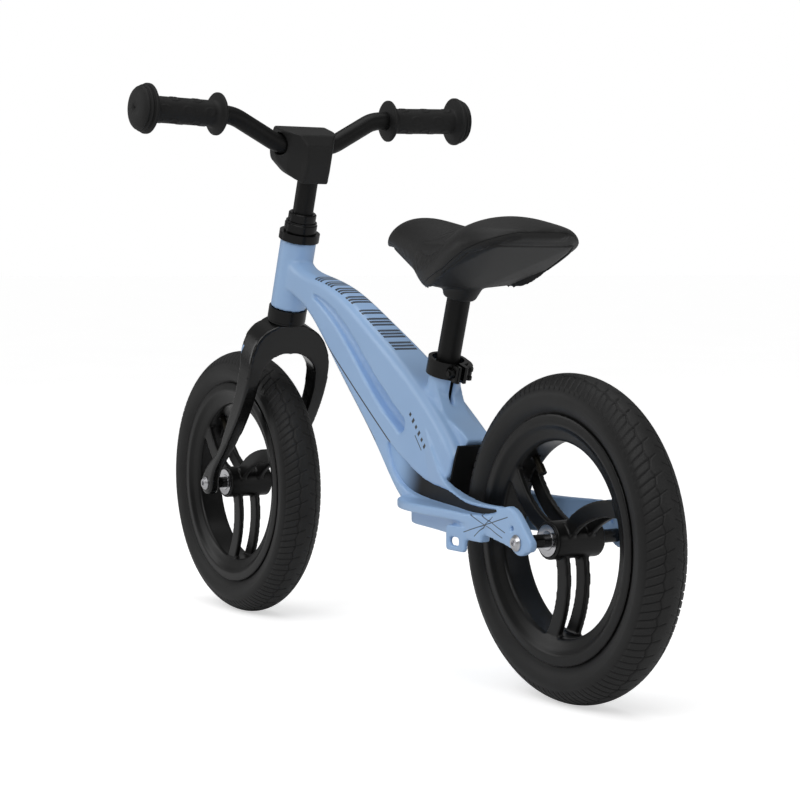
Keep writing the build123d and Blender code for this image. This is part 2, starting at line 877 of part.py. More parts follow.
lever_inner = collar_outer + 1.5 * easy_gap
lever_outer = lever_inner + 3.2
with BuildPart() as clamp_lever:
    with BuildSketch(post_plane(clamp_middle - 6)):
        with Locations((clamp_bolt_back, barrel_side)):
            Circle(lever_drum)
        with BuildLine():
            root = around_post(lever_inner, 34)
            tip = around_post(lever_inner + 1.5, 122)
            ThreePointArc(root, around_post(lever_inner, 72), around_post(lever_inner, 108))
            Line(around_post(lever_inner, 108), tip)
            Line(tip, around_post(lever_outer + 2.5, 124))
            Line(around_post(lever_outer + 2.5, 124), around_post(lever_outer, 108))
            shoulder = (clamp_bolt_back, barrel_side + 4)
            ThreePointArc(around_post(lever_outer, 108), around_post(lever_outer, 72), shoulder)
            Line(shoulder, root)
        make_face()
        with Locations((clamp_bolt_back, barrel_side)):
            Circle(barrel_radius + running_gap, mode=Mode.SUBTRACT)
    extrude(amount=12)
    with BuildSketch(post_plane(clamp_middle - clamp_bolt_radius - easy_gap)):
        with Locations((clamp_bolt_back + 7.2, barrel_side - 1)):
            Rectangle(20, 24)
    extrude(amount=2 * clamp_bolt_radius + 2 * easy_gap, mode=Mode.SUBTRACT)
save(clamp_lever.part, "clamp_lever")

# ---------------------------------------------------------------- seat post and saddle
post_outline = tube_outline(post_radius - post_wall, post_radius, post_low, post_high)
save(turned(post_side, post_axis, post_outline), "seat_post")


# along the saddle: place, top, lower edge, half width and the height of the pan under the pad
saddle_stations = [
    (-11, 413, 404, 7, 405),
    (-24, 421.5, 402, 15, 406),
    (-48, 428.5, 398, 23, 409),
    (-80, 428.5, 386, 31, 409),
    (-118, 421.5, 370, 42, 403),
    (-146, 418, 361, 52, 400),
    (-190, 424.5, 375, 61, 405),
    (-225, 426, 391, 61, 408),
    (-250, 420, 401, 48, 406),
    (-263, 414, 407, 24, 406),
]


def saddle_pad_block():
    """The saddle's outside, from rounded sections set one behind the other."""
    with BuildPart() as block:
        for place, top, low, half, _ in saddle_stations:
            height = top - low
            with BuildSketch(Plane(origin=(place, 0, 0), x_dir=(0, 1, 0), z_dir=(1, 0, 0))):
                with BuildLine():
                    Spline(
                        (0, top),
                        (0.58 * half, top - 0.14 * height),
                        (0.93 * half, top - 0.46 * height),
                        (half, low + 0.18 * height),
                        (0.88 * half, low),
                        tangents=[(1, 0), (-1, -0.8)],
                    )
                    Line((0.88 * half, low), (0, low))
                    Line((0, low), (0, top))
                make_face()
                mirror(about=Plane.YZ)
        loft()
    return block.part


def pan_block(inset, drop, lower):
    """The room under the pad, drawn in at the sides, dropped at the top and moved at its lower edge."""
    with BuildPart() as block:
        for place, top, low, half, pan in saddle_stations[1:-1]:
            across = half - pad_skirt - inset
            shift = -inset * (place + 134) / 116
            with BuildSketch(Plane(origin=(place + shift, 0, 0), x_dir=(0, 1, 0), z_dir=(1, 0, 0))):
                with BuildLine():
                    Polyline(
                        (0, pan - drop),
                        (0.75 * across, pan - drop - 1),
                        (across, pan - drop - 3),
                        (across, min(low + lower, pan - drop - 6)),
                        (0, min(low + lower, pan - drop - 6)),
                        close=True,
                    )
                make_face()
                mirror(about=Plane.YZ)
        loft(ruled=True)
    return block.part


with BuildPart() as saddle_pad:
    add(saddle_pad_block())
    add(pan_block(0, 0, -12), mode=Mode.SUBTRACT)
save(saddle_pad.part, "saddle_pad")

with BuildPart() as saddle_socket:
    with BuildSketch(post_plane(socket_low)):
        Circle(15.5)
    with BuildSketch(post_plane(socket_top)):
        with Locations((7, 0)):
            Ellipse(34, 25)
    loft()
    add(pan_block(running_gap, running_gap, -90), mode=Mode.INTERSECT)

with BuildPart() as saddle_base:
    add(pan_block(running_gap, running_gap, 4))
    add(pan_block(pan_wall, pan_wall + 1, -12), mode=Mode.SUBTRACT)
    add(saddle_socket.part)
    with BuildSketch(post_plane(socket_low - 1)):
        Circle(post_radius + running_gap)
    extrude(amount=post_high - socket_low + 1, mode=Mode.SUBTRACT)
    with BuildSketch(post_plane(post_high - 5)):
        Circle(saddle_bolt_radius + slip_gap)
    extrude(amount=40, mode=Mode.SUBTRACT)
    with BuildSketch(post_plane(bolt_seat)):
        Circle(8)
    extrude(amount=40, mode=Mode.SUBTRACT)
save(saddle_base.part, "saddle_base")

plug_low = post_high - post_plug_length
with BuildPart() as post_plug:
    with BuildSketch(post_plane(plug_low)):
        Circle(post_radius - post_wall - running_gap)
        Circle(saddle_bolt_radius + running_gap, mode=Mode.SUBTRACT)
    extrude(amount=post_plug_length)
save(post_plug.part, "post_plug")

with BuildPart() as saddle_bolt:
    with BuildSketch(post_plane(plug_low - 4)):
        Circle(saddle_bolt_radius)
    extrude(amount=bolt_seat - plug_low + 4)
    with BuildSketch(post_plane(bolt_seat)):
        RegularPolygon(6.5, 6)
    extrude(amount=4)
save(saddle_bolt.part, "saddle_bolt")

# ---------------------------------------------------------------- axles
inner_ring_place = bearing_face - bearing_width
for name, centre_x, plate_inner, plate_outer in (
    ("front", front_x, fork_tip_inner, fork_tip_outer),
    ("rear", rear_x, rear_plate_inner, rear_plate_outer),
):
    axle_line = Axis((centre_x, 0, axle_height), (0, 1, 0))
    radial = wheel_radial(centre_x)
    axle_outline = tube_outline(axle_bore, axle_radius, -plate_inner, plate_inner)
    save(turned(radial, axle_line, axle_outline), f"{name}_axle")
    spacer = tube_outline(axle_radius, inner_ring_outer, -inner_ring_place, inner_ring_place)
    save(turned(radial, axle_line, spacer), f"{name}_hub_spacer")
    with BuildPart() as inner_rings:
        with BuildSketch(radial):
            for side in (1, -1):
                ring_middle = (axle_radius + inner_ring_outer) / 2
                with Locations((ring_middle, side * (bearing_face - bearing_width / 2))):
                    Rectangle(ring_thickness, bearing_width)
        revolve(axis=axle_line)
    save(inner_rings.part, f"{name}_bearing_inner_rings")
    with BuildPart() as axle_bolts:
        for side in (1, -1):
            with BuildSketch(radial):
                with BuildLine():
                    Polyline(
                        (0, side * (plate_outer - bolt_length)),
                        (bolt_radius, side * (plate_outer - bolt_length)),
                        (bolt_radius, side * plate_outer),
                        (bolt_head_radius, side * plate_outer),
                        (bolt_head_radius, side * (plate_outer + 1.2)),
                        (bolt_head_radius - 2.4, side * (plate_outer + bolt_head_height)),
                        (0, side * (plate_outer + bolt_head_height)),
                        close=True,
                    )
                make_face()
            revolve(axis=axle_line)
            with BuildSketch(wheel_side(centre_x, side * (plate_outer + bolt_head_height))):
                RegularPolygon(2.9, 6)
            extrude(amount=side * 2.6, mode=Mode.SUBTRACT)
    save(axle_bolts.part, f"{name}_axle_bolts")

# ---------------------------------------------------------------- wheels
ring_profile = [
    (0, rim_well),
    (9, rim_well),
    (11, bead_seat),
    (17.6, bead_seat),
    (17.8, rim_flange),
    (rim_half_width, rim_flange - 0.4),
    (rim_half_width + 0.6, 101),
    (17.2, 96.5),
    (14.5, 88),
    (12.5, rim_inner),
    (0, rim_inner),
]
# centre line of a spoke: radius, and angle ahead of the spoke's own direction
spoke_curve = [(14.0, -6.0), (45.0, -5.0), (66.0, 1.0), (89.0, 8.0)]
spoke_directions = (-90.0, 30.0, 150.0)

for name, centre_x in (("front", front_x), ("rear", rear_x)):
    axle_line = Axis((centre_x, 0, axle_height), (0, 1, 0))
    radial = wheel_radial(centre_x)

    with BuildPart() as rim:
        with BuildSketch(radial):
            with BuildLine():
                left_half = [(r, y) for y, r in ring_profile]
                right_half = [(r, -y) for y, r in reversed(ring_profile[1:-1])]
                Polyline(*left_half, *right_half, close=True)
            make_face()
        revolve(axis=axle_line)
        for low in (spoke_outer_face - spoke_blade, -spoke_outer_face):
            with BuildSketch(wheel_side(centre_x, low)):
                for direction in spoke_directions:
                    with BuildLine() as middle:
                        points = [
                            (r * cos(radians(direction + turn)), r * sin(radians(direction + turn)))
                            for r, turn in spoke_curve
                        ]
                        Spline(*points)
                    trace(middle.line, line_width=spoke_width)
            extrude(amount=-spoke_blade)
        with BuildSketch(radial):
            with BuildLine():
                Polyline(
                    (inner_ring_outer + 1.2, -hub_half_length),
                    (hub_radius, -hub_half_length),
                    (hub_radius, hub_half_length),
                    (inner_ring_outer + 1.2, hub_half_length),
                    close=True,
                )
            make_face()
        revolve(axis=axle_line)
        with BuildSketch(radial):
            for side in (1, -1):
                with Locations((bearing_outer / 2, side * (bearing_face - bearing_width / 2))):
                    Rectangle(bearing_outer, bearing_width)
        revolve(axis=axle_line, mode=Mode.SUBTRACT)
        outward = (cos(radians(valve_angle)), 0, sin(radians(valve_angle)))
        with BuildSketch(Plane(origin=(centre_x, 0, axle_height), x_dir=(0, 1, 0), z_dir=outward).offset(80)):
            Circle(valve_radius + slip_gap)
        extrude(amount=20, mode=Mode.SUBTRACT)
    save(rim.part, f"{name}_rim")

    with BuildPart() as tyre:
        with BuildSketch(radial):
            with BuildLine():
                Line((bead_seat + 0.1, 12.4), (bead_seat + 0.1, 17.2))
                Line((bead_seat + 0.1, 17.2), (rim_flange + 0.5, 17.4))
                ThreePointArc((rim_flange + 0.5, 17.4), (123, tyre_half_width), (137, 18))
                ThreePointArc((137, 18), (tyre_radius, 0), (137, -18))
                ThreePointArc((137, -18), (123, -tyre_half_width), (rim_flange + 0.5, -17.4))
                Line((rim_flange + 0.5, -17.4), (bead_seat + 0.1, -17.2))
                Line((bead_seat + 0.1, -17.2), (bead_seat + 0.1, -12.4))
                Line((bead_seat + 0.1, -12.4), (rim_flange, -13.4))
                ThreePointArc((rim_flange, -13.4), (123, -tyre_half_width + 3), (134, -15))
                ThreePointArc((134, -15), (tread_inner, 0), (134, 15))
                ThreePointArc((134, 15), (123, tyre_half_width - 3), (rim_flange, 13.4))
                Line((rim_flange, 13.4), (bead_seat + 0.1, 12.4))
            make_face()
        revolve(axis=axle_line)
    save(tyre.part, f"{name}_tyre")

    with BuildPart() as inner_tube:
        with BuildSketch(radial):
            with Locations((tube_centre, 0)):
                Circle(tube_section)
                Circle(tube_section - tube_wall, mode=Mode.SUBTRACT)
        revolve(axis=axle_line)
    save(inner_tube.part, f"{name}_inner_tube")

    with BuildPart() as valve:
        stem_plane = Plane(origin=(centre_x, 0, axle_height), x_dir=(0, 1, 0), z_dir=outward)
        with BuildSketch(stem_plane.offset(valve_tip + 9)):
            Circle(valve_radius)
        extrude(amount=tube_centre - tube_section - easy_gap - valve_tip - 9)
        with BuildSketch(stem_plane.offset(valve_tip)):
            Circle(valve_radius + 0.7)
        extrude(amount=9)
        with BuildSketch(stem_plane.offset(rim_well)):
            Circle(6)
        extrude(amount=tube_centre - tube_section - easy_gap - rim_well)
    save(valve.part, f"{name}_valve")

    with BuildPart() as outer_rings:
        for side in (1, -1):
            with BuildSketch(radial):
                with BuildLine():
                    Polyline(
                        (outer_ring_inner, side * (bearing_face - bearing_width)),
                        (bearing_outer, side * (bearing_face - bearing_width)),
                        (bearing_outer, side * bearing_face),
                        (inner_ring_outer + easy_gap, side * (bearing_face - 0.4)),
                        (inner_ring_outer + easy_gap, side * (bearing_face - 1.2)),
                        (outer_ring_inner, side * (bearing_face - 1.2)),
                        close=True,
                    )
                make_face()
            revolve(axis=axle_line)
    save(outer_rings.part, f"{name}_bearing_outer_rings")

    with BuildPart() as bearing_balls:
        for side in (1, -1):
            place = side * (bearing_face - bearing_width / 2)
            with Locations(Plane(origin=(centre_x, place, axle_height), x_dir=(1, 0, 0), z_dir=(0, -1, 0))):
                with PolarLocations(ball_pitch, balls_per_row):
                    Sphere(ball_radius)
    save(bearing_balls.part, f"{name}_bearing_balls")
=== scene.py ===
# %% [markdown]
# # A child's balance bike, dressed around its CAD model
# The CAD part gives every piece its place and size. This lesson loads it, lights it, and then gives each
# piece the surface that the real one has. Pieces whose CAD shape is crisp and right keep it and only get a
# finish. Castings, mouldings, tyres, grips and the saddle are modelled again, because their softened edges,
# tread and skin are what the eye reads first.

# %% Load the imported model
import json
from math import atan2, cos, hypot, pi, radians, sin

import bpy
import numpy as np
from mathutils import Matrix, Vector


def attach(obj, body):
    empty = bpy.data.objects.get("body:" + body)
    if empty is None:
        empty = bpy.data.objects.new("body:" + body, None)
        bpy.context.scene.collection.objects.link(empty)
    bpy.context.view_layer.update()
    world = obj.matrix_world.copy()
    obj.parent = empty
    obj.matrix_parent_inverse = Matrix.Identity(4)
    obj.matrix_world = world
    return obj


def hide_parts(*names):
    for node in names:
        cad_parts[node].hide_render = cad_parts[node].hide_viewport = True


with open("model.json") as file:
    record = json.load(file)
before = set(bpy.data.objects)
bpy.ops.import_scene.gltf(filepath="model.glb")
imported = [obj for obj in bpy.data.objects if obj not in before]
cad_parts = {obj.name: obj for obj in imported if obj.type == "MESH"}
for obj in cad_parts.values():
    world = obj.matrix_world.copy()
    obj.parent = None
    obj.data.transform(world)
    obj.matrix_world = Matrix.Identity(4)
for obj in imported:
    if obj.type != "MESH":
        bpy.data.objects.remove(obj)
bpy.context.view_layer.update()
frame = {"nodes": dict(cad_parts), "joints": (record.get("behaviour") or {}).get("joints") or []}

nodes = frame["nodes"]
joints = {joint["name"]: joint for joint in frame["joints"]}
MM = 0.001

# %% [markdown]
# ## Studio
# A pale floor, a pale room, four large soft lamps and a weak, very wide sun make a plain product picture.
# Black parts show only what they mirror, so the lamps are long panels: their reflections draw the
# highlights along the tubes.

# %% Camera
camera_place = Vector((-1.8098, 1.1082, 0.3781))
camera_look = Vector((0.84843, -0.52591, -0.05987))
camera_data = bpy.data.cameras.new("camera")
camera_data.lens = 96.51
camera_data.sensor_width = 36
camera_data.clip_end = 400
camera = bpy.data.objects.new("camera", camera_data)
camera.location = camera_place
camera.rotation_euler = camera_look.to_track_quat("-Z", "Y").to_euler()
bpy.context.scene.collection.objects.link(camera)
bpy.context.scene.camera = camera
print("camera lens in mm:", camera_data.lens)

# %% Lamps and room
bike_middle = Vector((0, 0, 0.2))
ROOM_LIGHT, ROOM_SEEN = 0.22, 1.0


def panel_lamp(name, place, width, height, watts):
    """Large soft lamp that faces the bike."""
    data = bpy.data.lights.new(name, "AREA")
    data.shape = "RECTANGLE"
    data.size, data.size_y, data.energy = width, height, watts
    lamp = bpy.data.objects.new(name, data)
    lamp.location = place
    lamp.rotation_euler = (bike_middle - Vector(place)).to_track_quat("-Z", "Y").to_euler()
    bpy.context.scene.collection.objects.link(lamp)


panel_lamp("key_lamp", (-1.4, 2.0, 1.9), 1.0, 1.4, 13)
panel_lamp("fill_lamp", (-2.4, -1.0, 1.0), 0.9, 1.6, 6)
panel_lamp("front_lamp", (1.8, 1.8, 1.2), 0.8, 1.6, 9)
panel_lamp("top_lamp", (0.2, -0.3, 2.4), 2.0, 0.8, 9)

sun_data = bpy.data.lights.new("sky_light", "SUN")
sun_data.energy = 1.0
sun_data.angle = radians(60)
sun = bpy.data.objects.new("sky_light", sun_data)
sun.rotation_euler = Vector((0.35, -0.45, -1)).to_track_quat("-Z", "Y").to_euler()
bpy.context.scene.collection.objects.link(sun)

world = bpy.data.worlds.new("pale_room")
world.use_nodes = True
room = world.node_tree
room_light = room.nodes["Background"]
room_light.inputs["Color"].default_value = (1, 1, 1, 1)
room_light.inputs["Strength"].default_value = ROOM_LIGHT
# The camera sees a white room, but far less light than that falls on the bike.
room_seen = room.nodes.new("ShaderNodeBackground")
room_seen.inputs["Color"].default_value = (1, 1, 1, 1)
room_seen.inputs["Strength"].default_value = ROOM_SEEN
room_mix = room.nodes.new("ShaderNodeMixShader")
room_ray = room.nodes.new("ShaderNodeLightPath")
room.links.new(room_ray.outputs["Is Camera Ray"], room_mix.inputs["Fac"])
room.links.new(room_light.outputs["Background"], room_mix.inputs[1])
room.links.new(room_seen.outputs["Background"], room_mix.inputs[2])
room.links.new(room_mix.outputs["Shader"], room.nodes["World Output"].inputs["Surface"])
bpy.context.scene.world = world
bpy.context.scene.view_settings.view_transform = "Standard"


# %% Tools for working by hand
def alone(piece):
    """Deselect everything, then select this piece and make it the active one."""
    if bpy.context.object and bpy.context.object.mode != "OBJECT":
        bpy.ops.object.mode_set(mode="OBJECT")
    bpy.ops.object.select_all(action="DESELECT")
    piece.select_set(True)
    bpy.context.view_layer.objects.active = piece


def apply_modifier(piece, kind, **settings):
    """Add one modifier with these settings and apply it."""
    alone(piece)
    modifier = piece.modifiers.new(kind.lower(), kind)
    for key, value in settings.items():
        setattr(modifier, key, value)
    bpy.ops.object.modifier_apply(modifier=modifier.name)


def renamed(name):
    """Name the active object and its mesh."""
    piece = bpy.context.object
    piece.name = piece.data.name = name
    return piece


def settle(piece, body, replaced=(), finish=None):
    """Apply the piece's place, put it on its body and give it its finish."""
    alone(piece)
    bpy.ops.object.transform_apply(location=True, rotation=True, scale=True)
    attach(piece, body)
    if replaced:
        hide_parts(*replaced)
    if finish:
        piece.data.materials.clear()
        piece.data.materials.append(finish)
    print(piece.name, "faces", len(piece.data.polygons))


# %% Floor plane
FLOOR_WIDTH = 300
bpy.ops.mesh.primitive_plane_add(size=FLOOR_WIDTH, location=(0, 0, 0))
floor = renamed("studio_floor")
print("floor width in m:", FLOOR_WIDTH)


# %% [markdown]
# ## Finishes
# A finish is a node material. Writing the shader's sums as Python expressions keeps them readable, so one
# small class wraps a socket and overloads the arithmetic, and one method adds every other node.

# %% Shader arithmetic
class Flow:
    """A number, colour or vector on its way through a finish."""

    def __init__(self, finish, socket):
        self.finish, self.socket = finish, socket

    def maths(self, operation, *others):
        return self.finish.node("ShaderNodeMath", {"operation": operation}, [self, *others])

    def __add__(self, other):
        return self.maths("ADD", other)

    def __sub__(self, other):
        return self.maths("SUBTRACT", other)

    def __mul__(self, other):
        return self.maths("MULTIPLY", other)

    def __truediv__(self, other):
        return self.maths("DIVIDE", other)

    def __rsub__(self, other):
        return self.finish.node("ShaderNodeMath", {"operation": "SUBTRACT"}, [other, self])

    __radd__, __rmul__ = __add__, __mul__

    def size(self):
        return self.maths("ABSOLUTE")

    def least(self, other):
        return self.maths("MINIMUM", other)

    def most(self, other):
        return self.maths("MAXIMUM", other)

    def step(self, low, high):
        """0 below low, 1 above high, smooth between."""
        settings = {"interpolation_type": "SMOOTHSTEP"}
        values = {"Value": self, "From Min": low, "From Max": high}
        return self.finish.node("ShaderNodeMapRange", settings, values)

    def within(self, low, high, soft):
        """1 between low and high, with soft ends."""
        return self.step(low - soft, low + soft) * (1 - self.step(high - soft, high + soft))


class Finish:
    """A node material on the principled shader."""

    def __init__(self, name):
        self.material = bpy.data.materials.new(name)
        self.material.use_nodes = True
        self.tree = self.material.node_tree
        self.shader = self.tree.nodes["Principled BSDF"]
        self.place = self.node("ShaderNodeTexCoord", {}, {}, "Object")
        self.x, self.y, self.z = self.parts(self.place)

    def parts(self, vector):
        """The three numbers of a vector."""
        made = self.node("ShaderNodeSeparateXYZ", {}, [vector]).socket.node
        return [Flow(self, socket) for socket in made.outputs]

    def node(self, kind, settings, values, output=0):
        """Add one node, set it, fill its sockets with numbers or links, and return its output."""
        made = self.tree.nodes.new(kind)
        for key, value in settings.items():
            setattr(made, key, value)
        for key, value in values.items() if isinstance(values, dict) else enumerate(values):
            if isinstance(value, Flow):
                self.tree.links.new(value.socket, made.inputs[key])
            else:
                made.inputs[key].default_value = value
        return Flow(self, made.outputs[output])

    def noise(self, scale, detail, roughness=0.55):
        """Cloudy number from 0 to 1."""
        values = {"Vector": self.place, "Scale": scale, "Detail": detail, "Roughness": roughness}
        return self.node("ShaderNodeTexNoise", {}, values, "Fac")

    def cells(self, scale):
        """Distance to the middle of the nearest of many small cells."""
        return self.node("ShaderNodeTexVoronoi", {}, {"Vector": self.place, "Scale": scale}, "Distance")

    def mix(self, factor, first, second):
        """Blend two colours, each a colour or a link."""
        made = self.tree.nodes.new("ShaderNodeMix")
        made.data_type = "RGBA"
        for key, value in (("Factor_Float", factor), ("A_Color", first), ("B_Color", second)):
            socket = next(s for s in made.inputs if s.identifier == key)
            if isinstance(value, Flow):
                self.tree.links.new(value.socket, socket)
            else:
                socket.default_value = value if key == "Factor_Float" else (*value, 1)
        return Flow(self, next(s for s in made.outputs if s.identifier == "Result_Color"))

    def relief(self, height, depth, strength=1.0, under=None):
        """Bump of this depth in metres, on top of another bump if there is one."""
        values = {"Height": height, "Distance": depth, "Strength": strength}
        if under:
            values["Normal"] = under
        return self.node("ShaderNodeBump", {}, values)

    def set(self, **sockets):
        """Fill the shader's own sockets, each named with underscores for spaces."""
        for key, value in sockets.items():
            socket = self.shader.inputs[key.replace("_", " ")]
            if isinstance(value, Flow):
                self.tree.links.new(value.socket, socket)
            elif isinstance(value, tuple):
                socket.default_value = (*value, 1)
            else:
                socket.default_value = value
        return self.material


# %% Black finishes
def black_finish(name, dark, light, gloss, grain_scale, grain_depth, coat=0.0, metal=0.0, specular=0.5):
    """A black surface that is a little uneven in tone and gloss, over a fine grain."""
    finish = Finish(name)
    cloud = finish.noise(14, 4)
    grain = finish.noise(grain_scale, 2, 0.6)
    tone = finish.mix(cloud.step(0.3, 0.7), (dark,) * 3, (light,) * 3)
    rough = cloud * (gloss * 0.22) + (gloss * 0.86) + grain * (gloss * 0.1)
    return finish.set(
        Base_Color=tone, Roughness=rough, Metallic=metal, Coat_Weight=coat, Coat_Roughness=0.12,
        Specular_IOR_Level=specular, Normal=finish.relief(grain, grain_depth, 0.6),
    )


gloss_black = black_finish("gloss_black_paint", 0.0022, 0.0032, 0.22, 700, 0.00004, coat=0.06, specular=0.22)
satin_black = black_finish("satin_black_coat", 0.0038, 0.0056, 0.42, 1500, 0.00006, specular=0.2)
moulded_black = black_finish("moulded_black_plastic", 0.0090, 0.0125, 0.52, 2200, 0.00010, specular=0.28)
rim_black = black_finish("rim_moulding", 0.0040, 0.0060, 0.30, 1800, 0.00005, specular=0.26)
grip_black = black_finish("grip_rubber", 0.0085, 0.0120, 0.58, 2600, 0.00012, specular=0.26)
# Used only on the wheel guard: its dull black is the moulding's own colour and also paints the deep shade
# inside the arch between the stays.
guard_black_and_shade = black_finish("guard_black_and_arch_shade", 0.0050, 0.0070, 0.66, 1400, 0.00008, specular=0.2)
anodised_black = black_finish("anodised_black", 0.008, 0.012, 0.36, 1900, 0.00004, metal=0.4)
print("finishes so far:", [material.name for material in bpy.data.materials])


# %% Bright metal
def metal_finish(name, colour, rough, brush):
    """Bright metal with fine turning marks."""
    finish = Finish(name)
    marks = finish.noise(brush, 2, 0.5)
    cloud = finish.noise(60, 2)
    tone = finish.mix(cloud.step(0.25, 0.75), colour, tuple(0.86 * c for c in colour))
    rough = marks * 0.1 + rough
    return finish.set(
        Base_Color=tone, Metallic=1.0, Roughness=rough, Normal=finish.relief(marks, 0.00002, 0.5),
    )


bright_steel = metal_finish("bright_zinc", (0.58, 0.58, 0.60), 0.24, 2400)
bearing_steel = metal_finish("bearing_steel", (0.62, 0.62, 0.64), 0.16, 1800)
valve_brass = metal_finish("valve_brass", (0.020, 0.018, 0.014), 0.45, 1800)
print("finishes so far:", len(bpy.data.materials))

# %% [markdown]
# ## Floor
# The floor has a trace of tone, and it glows for the camera alone. The glow lifts it to the white of the
# room, so that no line shows where the floor ends, and it leaves the bike's own shadow in place.

# %% Floor finish
floor_finish = Finish("pale_floor")
floor_tone = floor_finish.mix(floor_finish.noise(2, 2).step(0.3, 0.7), (0.86, 0.86, 0.86), (0.88, 0.88, 0.88))
floor_shader = floor_finish.set(Base_Color=floor_tone, Roughness=0.9, Specular_IOR_Level=0.0)
FLOOR_GLOW = 0.56
floor_glow = floor_finish.node("ShaderNodeEmission", {}, {"Color": (1, 1, 1, 1), "Strength": FLOOR_GLOW})
floor_seen = floor_finish.node("ShaderNodeLightPath", {}, {}, "Is Camera Ray")
floor_glow = floor_finish.node("ShaderNodeMixShader", {}, {0: floor_seen, 2: floor_glow})
floor_sum = floor_finish.tree.nodes.new("ShaderNodeAddShader")
floor_out = floor_finish.tree.nodes["Material Output"]
floor_finish.tree.links.new(floor_finish.shader.outputs[0], floor_sum.inputs[0])
floor_finish.tree.links.new(floor_glow.socket, floor_sum.inputs[1])
floor_finish.tree.links.new(floor_sum.outputs[0], floor_out.inputs["Surface"])
floor.data.materials.append(floor_shader)
print("floor glow:", FLOOR_GLOW)

# %% [markdown]
# ## Frame paint
# The casting is sprayed a satin sky blue and carries printed graphics. Printing is flat, so it belongs in the
# finish: each mark is a mask made from the distance to a line in the side view.

# %% Frame paint
paint = Finish("sky_blue_paint")
sky_blue, deep_blue = (0.335, 0.515, 0.79), (0.315, 0.490, 0.765)
paint_cloud = paint.noise(9, 3)
paint_peel = paint.noise(420, 2)


def stripe(finish, start, end, width, soft=0.0003):
    """Mask of a straight printed line in the side view, from one (x, z) point to another, in metres."""
    (x0, z0), (x1, z1) = start, end
    length = hypot(x1 - x0, z1 - z0)
    ahead = ((x1 - x0) / length, (z1 - z0) / length)
    along = (finish.x - x0) * ahead[0] + (finish.z - z0) * ahead[1]
    aside = ((finish.z - z0) * ahead[0] - (finish.x - x0) * ahead[1]).size()
    inside = along.within(0, length, soft)
    return (1 - aside.step(width / 2 - soft, width / 2 + soft)) * inside


STRIPE_WIDTH, SCRIBBLE_WIDTH = 0.0016, 0.0008
belly_stripes = stripe(paint, (0.108, 0.3125), (-0.041, 0.2125), STRIPE_WIDTH)
belly_stripes = belly_stripes.most(stripe(paint, (0.104, 0.3085), (-0.011, 0.2125), STRIPE_WIDTH))
# Four thin crossing lines stand on the outer face of each stay, which is more than 51 mm from the middle.
scribbles = None
for start, end in (
    ((-0.222, 0.146), (-0.292, 0.166)),
    ((-0.232, 0.163), (-0.284, 0.147)),
    ((-0.240, 0.144), (-0.268, 0.164)),
    ((-0.246, 0.165), (-0.288, 0.152)),
):
    line = stripe(paint, start, end, SCRIBBLE_WIDTH)
    scribbles = line if scribbles is None else scribbles.most(line)
scribbles = scribbles * paint.y.size().step(0.050, 0.0515)
print("frame paint nodes so far:", len(paint.tree.nodes))

# %% Ridge marks and side marks
# Three-bar groups run down the ridge, and a short row of dashes stands on each side of the beam's foot.
ridge_start, ridge_end, ridge_bend = 0.125, -0.036, (0.0469, 0.3444)
BAR_PITCH, GROUP_PITCH, HATCH_PITCH = 0.0052, 0.0208, 0.0021
FRONT_SLOPE, BACK_SLOPE = 0.358, 0.569
down_ridge = ridge_start - paint.x
bars = 1 - (down_ridge / BAR_PITCH).maths("FRACT").step(0.62, 0.70)
groups = 1 - (down_ridge / GROUP_PITCH).maths("FRACT").step(0.70, 0.72)
past_bend = paint.x - ridge_bend[0]
ridge_top = (past_bend * FRONT_SLOPE).least(past_bend * BACK_SLOPE) + ridge_bend[1]
on_ridge = (paint.z - ridge_top).step(-0.012, -0.011) * paint.x.within(ridge_end, ridge_start, 0.0003)
hatch = 1 - (paint.y / HATCH_PITCH).maths("FRACT").within(0.0, 0.2, 0.03) * 0.6
word_gap = 1 - paint.x.within(0.036, 0.046, 0.0003)
ridge_marks = bars * groups * on_ridge * word_gap * hatch * paint.y.size().within(-0.001, 0.0128, 0.0003)
side_marks = None
DASHES, FIRST_DASH, DASH_STEP = 6, (-0.0774, 0.2430), (0.0056, 0.0057)
for i in range(DASHES):
    spot = (FIRST_DASH[0] - DASH_STEP[0] * i, FIRST_DASH[1] - DASH_STEP[1] * i)
    dash = stripe(paint, spot, (spot[0] - 0.0023, spot[1] - 0.0024), 0.0052 if i % 2 else 0.0038)
    side_marks = dash if side_marks is None else side_marks.most(dash)
side_marks = side_marks.most(stripe(paint, (-0.0880, 0.2225), (-0.1010, 0.2090), 0.0011))
side_marks = side_marks * paint.y.size().step(0.012, 0.013)
print_mask = belly_stripes.most(scribbles).most(ridge_marks).most(side_marks)
blue = paint.mix(paint_cloud.step(0.3, 0.7), sky_blue, deep_blue)
frame_paint = paint.set(
    Base_Color=paint.mix(print_mask, blue, (0.012, 0.012, 0.014)),
    Roughness=paint_cloud * 0.08 + 0.34,
    Coat_Weight=0.25,
    Coat_Roughness=0.22,
    Normal=paint.relief(paint_peel, 0.00003, 0.5),
)
print("frame paint nodes:", len(paint.tree.nodes))

# %% Fading panel with painted shade, and fork accent
# The inlay is sky blue where it leaves the belly and its own matte black towards the wheel.
# The fade from blue to black between them is painted shade: the recess is drawn darker as it runs in towards
# the wheel.
panel = Finish("panel_with_painted_shade")
panel_grain = panel.noise(1400, 2)
# Painted shade: this mask darkens the blue to black along the recess, towards the wheel.
recess_painted_shade = 1 - (panel.x + panel.z * 0.35).step(-0.036, 0.016)
panel_with_painted_shade = panel.set(
    Base_Color=panel.mix(recess_painted_shade, sky_blue, (0.0055, 0.0055, 0.006)),
    Roughness=panel_grain * 0.06 + 0.5,
    Specular_IOR_Level=0.25,
    Normal=panel.relief(panel_grain, 0.00006, 0.5),
)

